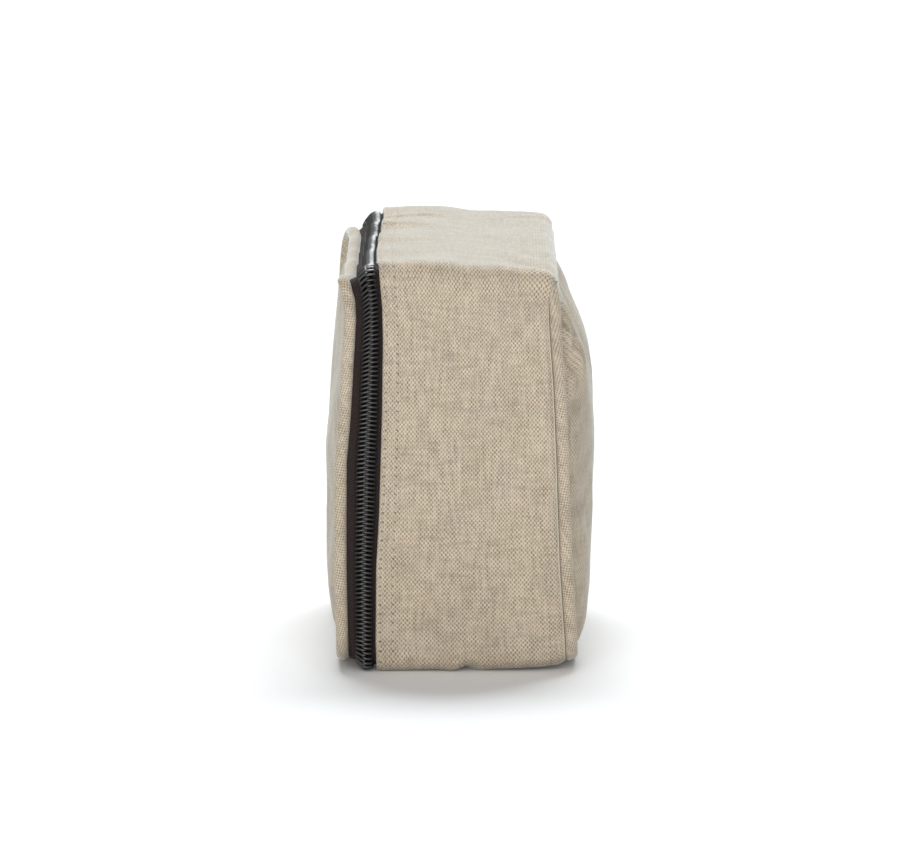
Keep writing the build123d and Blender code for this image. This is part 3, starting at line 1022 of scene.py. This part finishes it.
def make_panel(word, body, nodes, side, drawn, cut_larger, gathers, lines):
    """Both layers of a panel: the canvas and the lining behind it. The creases go on the finer grid."""
    across, up, face = drawn
    face = buckled(face, side, cut_larger, gathers)
    face = doubled(doubled(face).swapaxes(0, 1)).swapaxes(0, 1)
    x, z = face[..., 0], face[..., 2]
    held = np.clip(off_rim(face) / crease_edge, 0, 1)
    face[..., 1] -= side * pressed(x, 0 * x, z, lines, crease_ridge) * held
    fine = (doubled(across), doubled(up), face)
    outer_node, lining_node = nodes
    outside = panel_layer(word + "_panel", panel_cloth, fine, side, 0, thickness)
    dress(outside, body, "canvas", outer_node)
    inside = panel_layer(word + "_lining", lining_cloth, fine, side, canvas, lining)
    dress(inside, body, "lining", lining_node)


back_drawn = drawn_panel(back_rim_y, back_crown_y, (back_heights, back_swell))
lid_drawn = drawn_panel(lid_rim_y, lid_crown_y, (lid_heights, lid_swell))
back_nodes = ("back_panel_outer", "back_lining")
lid_nodes = ("lid_panel_outer", "lid_lining")
make_panel("back", "bag_body", back_nodes, 1, back_drawn, (0.02, 0.10), back_gathers, back_creases)
make_panel("lid", "lid", lid_nodes, -1, lid_drawn, (0.012, 0.06), lid_gathers, lid_creases)
print("panels swell by", round(back_swell_depth / mm, 1), "and", round(lid_swell_depth / mm, 1), "mm")

# %% [markdown]
# ## The lining and the bound seams inside
#
# The lining of the gusset is turned in over the zip tape and steps out to lie on the canvas. Where a panel
# is sewn in, the raw edges stand up inside the bag under a folded tape.

# %% Make the gusset's lining and the bindings
lining_front = hem_y + 3 * mm
lining_step = hem_inside + 0.6 * mm
lining_step_under = hem_inside + 1.2 * mm
lining_back = seam_y - 0.1 * mm
lining_gap = 0.03 * mm
lining_section = [(y, tape_under + lining_gap) for y in np.linspace(lining_front, hem_inside, 6)]
lining_section += [(y, canvas + lining_gap) for y in np.linspace(lining_step, lining_back, 26)]
lining_section += [(y, canvas + lining) for y in np.linspace(lining_back, lining_step_under, 26)]
lining_section += [(y, tape_under + lining) for y in np.linspace(lining_step, lining_front, 6)]
gusset_inside = strip("gusset_lining", lining_cloth, lining_section, gusset_start, gusset_end, 2.5 * mm)
dress(gusset_inside, "bag_body", "lining", "gusset_lining")


binding_depth = 4.7 * mm


def bound_seam(name, node, body):
    """The folded tape over a seam's raw edges, all round the bag."""
    low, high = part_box(node)
    outer = half_length - high.x
    section = band(low.y, high.y, outer, outer + binding_depth, 0.6 * mm)
    made = strip(name, binding_cloth, section, 0, perimeter, 2.5 * mm, ring=True)
    dress(made, body, "binding", node)


bound_seam("back_binding", "back_seam_binding", "bag_body")
bound_seam("lid_binding", "lid_seam_binding", "lid")
print("lining of the gusset:", len(gusset_inside.data.polygons), "faces, and two bindings")

# %% [markdown]
# ## The zip tapes
#
# One tape is sewn under the gusset's hem and one into the seam of the lid. At the far end the lid's tape
# is cut off above the slider, where the closed zip begins, and its last stretch stays with the base.

# %% Make the tapes
body_tape_low, body_tape_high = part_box("body_zip_tape")
tail_low, tail_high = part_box("zip_tape_tail")
lid_tape_inner_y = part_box("lid_zip_tape")[1].y
tape_gap = 0.4 * mm
tape_tuck = 0.3 * mm
tape_start = gusset_start
tape_end = gusset_end
lid_tape_end = far_s(tail_high.z + tape_gap)
tail_start = far_s(tail_high.z)


def tape(name, low_y, high_y, start, end, body, node):
    """A stretch of tape between two lengths of the outline."""
    section = band(low_y, high_y, hem_depth, tape_under, 1 * mm)
    dress(strip(name, tape_cloth, section, start, end), body, "zip_tape", node)


tape("body_tape", body_tape_low.y, body_tape_high.y, tape_start, tape_end, "bag_body", "body_zip_tape")
tape("lid_tape", lid_edge_y - tape_tuck, lid_tape_inner_y, tape_start, lid_tape_end, "lid", "lid_zip_tape")
tape("tape_tail", tail_low.y, lid_tape_inner_y, tail_start, tape_end, "bag_body", "zip_tape_tail")
print("lid tape ends above", round(tail_high.z, 4))

# %% [markdown]
# ## The coils
#
# A coil zip is two flattened springs of nylon wire, one left-handed and one right-handed, sewn to the
# tapes. The heads of one sit between those of the other, half a turn apart. Each is a helix whose round is
# squeezed flat, swept along the outline with a thin round section. That gives the real slanted bars, not a
# drawn pattern.

# %% Wind the coils
coil_pitch = 1.8 * mm
wire_radius = 0.5 * mm
turn_steps = 12
wire_sides = 6
head_reach = 0.55 * mm
foot_reach = 3.75 * mm
head_rise = 0.55


def square_to(path, hint):
    """Two directions square to a path and to each other, at each of its points. hint is no way it runs."""
    ahead = np.gradient(path, axis=0)
    ahead /= np.linalg.norm(ahead, axis=1)[:, None]
    side = np.cross(ahead, hint)
    side /= np.linalg.norm(side, axis=1)[:, None]
    return side, np.cross(side, ahead)


def tube(name, path, radius, sides, material):
    """A tube of even radius along a path of points, closed at both ends."""
    side, up = square_to(path, (0.37, 0.11, 0.92))
    turns = np.arange(sides) * 2 * pi / sides
    ring = side[:, None] * np.cos(turns)[None, :, None] + up[:, None] * np.sin(turns)[None, :, None]
    along = np.concatenate([[0.0], np.cumsum(np.linalg.norm(np.diff(path, axis=0), axis=1))])
    around = np.arange(sides + 1) * 2 * pi * radius / sides
    return skin(name, path[:, None] + radius * ring, along, around, material)


def coil(name, start, end, hand):
    """One row of coils from start to end. hand is 1 for the body's row and -1 for the lid's."""
    turns = int((end - start) / coil_pitch)
    angle = np.arange(turns * turn_steps + 1) * 2 * pi / turn_steps
    flat = (foot_reach + head_reach) / 2
    middle = (foot_reach - head_reach) / 2
    s = start + coil_pitch * (angle / (2 * pi) + (0.5 if hand > 0 else 0.0))
    y = coil_y + hand * (middle - flat * np.cos(angle))
    inset = hem_depth / 2 + (hem_depth / 2 - wire_radius) * np.sin(angle - head_rise)
    return tube(name, settle(s, y, inset), wire_radius, wire_sides, coil_nylon)


core_near = 0.9 * mm
core_far = 3.1 * mm
core_insets = (1.0 * mm, 1.4 * mm)


def core(name, start, end, hand):
    """The flat cord inside a row of coils, which the sewing goes through."""
    sides = sorted((coil_y + hand * core_near, coil_y + hand * core_far))
    return strip(name, coil_cord, band(*sides, *core_insets, 1.1 * mm), start, end)


coil_slack = 1 * mm
body_run = (tape_start + coil_slack, tape_end - coil_slack, 1)
lid_run = (tape_start + coil_slack, lid_tape_end - coil_slack, -1)
tail_run = (tail_start + coil_slack, tape_end - coil_slack, -1)
dress(coil("body_coil", *body_run), "bag_body", "zip_coil", "body_zip_coil")
dress(coil("lid_coil", *lid_run), "lid", "zip_coil", "lid_zip_coil")
dress(coil("coil_tail", *tail_run), "bag_body", "zip_coil", "zip_coil_tail")

dress(core("body_coil_core", *body_run), "bag_body", "zip_coil")
dress(core("lid_coil_core", *lid_run), "lid", "zip_coil")
dress(core("coil_tail_core", *tail_run), "bag_body", "zip_coil")
print("turns of the body's coil:", int((body_run[1] - body_run[0]) / coil_pitch))

# %% [markdown]
# ## The slider and its pull
#
# The slider is cast in one piece: an outer plate over the coils, a second plate inside the bag, a post
# between them that parts the two rows, and an arched crown that the pull hangs from. The closed zip above
# it came out of its narrow end, and it is wide below, where two open rows would go in. Flat curves cut to
# the shape of each plate are the quickest way to make them: a 2-D curve fills itself, leaves its inner
# rings open as windows, and rounds its own edges.

# %% Cast the slider
slider_low, slider_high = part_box("slider_body")
crown_low, crown_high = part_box("slider_crown")
pull_low, pull_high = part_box("pull_tab")
slider_middle = (slider_low.y + slider_high.y) / 2
slider_park = (slider_low.z + slider_high.z) / 2
far_face = -half_length
plate_out = 0.3 * mm
plate_top = 1.5 * mm
inner_plate = (-4.4 * mm, -3.4 * mm)
overlap = 0.2 * mm
curve_scale = 100
plate_weld = 0.002 * mm
plate_sharp_angle = radians(50)


def rounded(points, radius, steps=6):
    """A ring of (y, z) points with each corner rounded by radius."""
    ring = []
    for index, corner in enumerate(points):
        corner = np.array(corner)
        before = np.array(points[index - 1]) - corner
        after = np.array(points[(index + 1) % len(points)]) - corner
        reach = min(radius, 0.45 * np.linalg.norm(before), 0.45 * np.linalg.norm(after))
        first = corner + reach * before / np.linalg.norm(before)
        last = corner + reach * after / np.linalg.norm(after)
        for step in range(steps + 1):
            t = step / steps
            ring.append((1 - t) ** 2 * first + 2 * t * (1 - t) * corner + t ** 2 * last)
    return ring


def cut_plate(name, rings, out_low, out_high, edge, along_y=False):
    """A plate with rounded edges, out_low to out_high from the far face.

    The rings are (y, z), or (out, z) with along_y. The curve is drawn larger, as Blender rounds small ones.
    """
    data = bpy.data.curves.new(name, "CURVE")
    data.dimensions = "2D"
    data.fill_mode = "BOTH"
    for ring in rings:
        spline = data.splines.new("POLY")
        spline.points.add(len(ring) - 1)
        for point, place in zip(spline.points, ring):
            point.co = (place[0] * curve_scale, place[1] * curve_scale, 0, 1)
        spline.use_cyclic_u = True
    data.extrude = ((out_high - out_low) / 2 - edge) * curve_scale
    data.bevel_depth = edge * curve_scale
    data.bevel_resolution = 3
    data.offset = -edge * curve_scale
    holder = bpy.data.objects.new(name + "_curve", data)
    bpy.context.scene.collection.objects.link(holder)
    bpy.context.view_layer.update()
    mesh = bpy.data.meshes.new_from_object(holder.evaluated_get(bpy.context.evaluated_depsgraph_get()))
    bpy.data.objects.remove(holder)
    middle = (out_low + out_high) / 2
    for vertex in mesh.vertices:
        u, v, w = (value / curve_scale for value in vertex.co)
        if along_y:
            vertex.co = (far_face - u, slider_middle + middle + w, v)
        else:
            vertex.co = (far_face - middle + w, u, v)
    face_out(mesh, plate_weld)
    mesh.materials.clear()
    made = placed(name, mesh, black_metal)
    mesh.set_sharp_from_angle(angle=plate_sharp_angle)
    return made


def mirrored(half):
    """A closed ring from the (y, z) points of its +Y half, taken from top to bottom."""
    right = [(slider_middle + y * mm, slider_park + z * mm) for y, z in half]
    left = [(slider_middle - y * mm, slider_park + z * mm) for y, z in reversed(half) if y > 0]
    return right + left


plate_half = [(4.1, 7.0), (4.1, 3.0), (5.2, -1.5), (5.2, -5.6), (4.6, -7.0), (1.6, -7.0), (0, -5.2)]
plate_ring = rounded(mirrored(plate_half), 1.0 * mm)
plate_edge = 0.3 * mm
plate = cut_plate("slider_plate", [plate_ring], plate_out, plate_top, plate_edge)
dress(plate, "slider", "zip_metal", "slider_body")
dress(cut_plate("slider_inner_plate", [plate_ring], *inner_plate, 0.25 * mm), "slider", "zip_metal")
post_ring = rounded(mirrored([(0, -2.4), (0.5, -3.4), (0.5, -5.8), (0, -6.4)]), 0.3 * mm)
post = cut_plate("slider_post", [post_ring], inner_plate[1] - overlap, plate_out + overlap, 0.1 * mm)
dress(post, "slider", "zip_metal")
print("slider", round(slider_high.z - slider_low.z, 4), "m tall, parked at", round(slider_park, 4))

# %% Bend the crown, and cut the pull
crown_half = (crown_high.y - crown_low.y) / 2
crown_top = far_face - crown_low.x


def arched(low, top, slope, shoulder, foot):
    """Half a ring of (out, z) points mirrored about the crown's middle, foot away from its ends."""
    start = crown_low.z + foot
    lower = [(low, start), (top - slope, start), (top, crown_low.z + shoulder)]
    upper = [(out, crown_low.z + crown_high.z - z) for out, z in reversed(lower)]
    return lower + upper


arch = arched(plate_top - overlap, crown_top, 1.6 * mm, 1.8 * mm, 0)
eye = arched(plate_top, crown_top - 1.1 * mm, 0.8 * mm, 2.5 * mm, 1.3 * mm)
crown_rings = [rounded(ring, 0.8 * mm) for ring in (arch, eye)]
crown = cut_plate("slider_crown_arch", crown_rings, -crown_half, crown_half, plate_edge, along_y=True)
dress(crown, "slider", "zip_metal", "slider_crown")

pull_half = (pull_high.y - pull_low.y) / 2 / mm
pull_top = (pull_high.z - slider_park) / mm
pull_foot = (pull_low.z - slider_park) / mm
pull_sides = [(0, pull_top), (pull_half, pull_top), (pull_half, -4.5), (pull_half - 0.7, -7.5),
              (pull_half, -12), (pull_half, pull_foot), (0, pull_foot)]
pull_ring = rounded(mirrored(pull_sides), 1.9 * mm)
window_ring = rounded(mirrored([(0, -0.9), (1.7, -0.9), (1.7, -5.1), (0, -5.1)]), 0.9 * mm)
hole_radius = 1.3 * mm
hole_z = slider_park - 19.6 * mm
hole_turns = np.arange(24) * 2 * pi / 24
hole_ring = [(slider_middle + hole_radius * cos(t), hole_z + hole_radius * sin(t)) for t in hole_turns]
pull_rings = [pull_ring, window_ring, hole_ring]
pull = cut_plate("zip_pull", pull_rings, far_face - pull_high.x, far_face - pull_low.x, plate_edge)
dress(pull, "pull", "zip_metal", "pull_tab")
print("pull hangs to", round(pull_low.z, 4))

# %% [markdown]
# ## The stitching
#
# Each stitch is a short thread that dips into the cloth at both ends, so light catches it. Two rows hold
# the hem beside the zip. All the stitches of a row are one mesh.

# %% Sew the rows
stitch_length = 2.9 * mm
thread_radius = 0.2 * mm
thread_sides = 6
stitch_points = 5
stitch_arch = 1.6
stitch_dip = 0.9


def stitches(name, starts, place):
    """A row of stitches. place gives the points for lengths along the row and lifts above the cloth."""
    radius, sides = thread_radius, thread_sides
    verts, faces = [], []
    for start in starts:
        share = np.linspace(0, 1, stitch_points)
        lift = radius * (stitch_arch * np.sin(pi * share) - stitch_dip)
        path = place(start + stitch_length * share, lift)
        path[:, 2] = np.maximum(path[:, 2], radius + floor_clearance * mm)
        side, up = square_to(path, (0.37, 0.91, 0.2))
        first = len(verts)
        for k in range(stitch_points):
            for turn in np.arange(sides) * 2 * pi / sides:
                verts.append(path[k] + radius * (cos(turn) * side[k] + sin(turn) * up[k]))
        for k in range(stitch_points - 1):
            for n in range(sides):
                a, b = first + k * sides + n, first + k * sides + (n + 1) % sides
                faces.append((a, b, b + sides, a + sides))
        last = first + (stitch_points - 1) * sides
        faces.append(tuple(range(first, first + sides)))
        faces.append(tuple(range(last, last + sides)))
    mesh = bpy.data.meshes.new(name)
    mesh.from_pydata([tuple(v) for v in verts], [], faces)
    return placed(name, mesh, thread_cotton)


def hem_row(name, off_hem):
    """A row that runs beside the hem, off_hem from its edge."""
    starts = np.arange(gusset_start + 2 * mm, gusset_end - stitch_pitch, stitch_pitch)
    row = stitches(name, starts, lambda s, lift: settle(s, hem_y + off_hem, -lift))
    dress(row, "bag_body", "canvas")


hem_row("hem_stitches_edge", row_offsets[0])
hem_row("hem_stitches_inner", row_offsets[1])
print("hem rows sewn at", [round(row / mm, 1) for row in hem_rows], "mm")
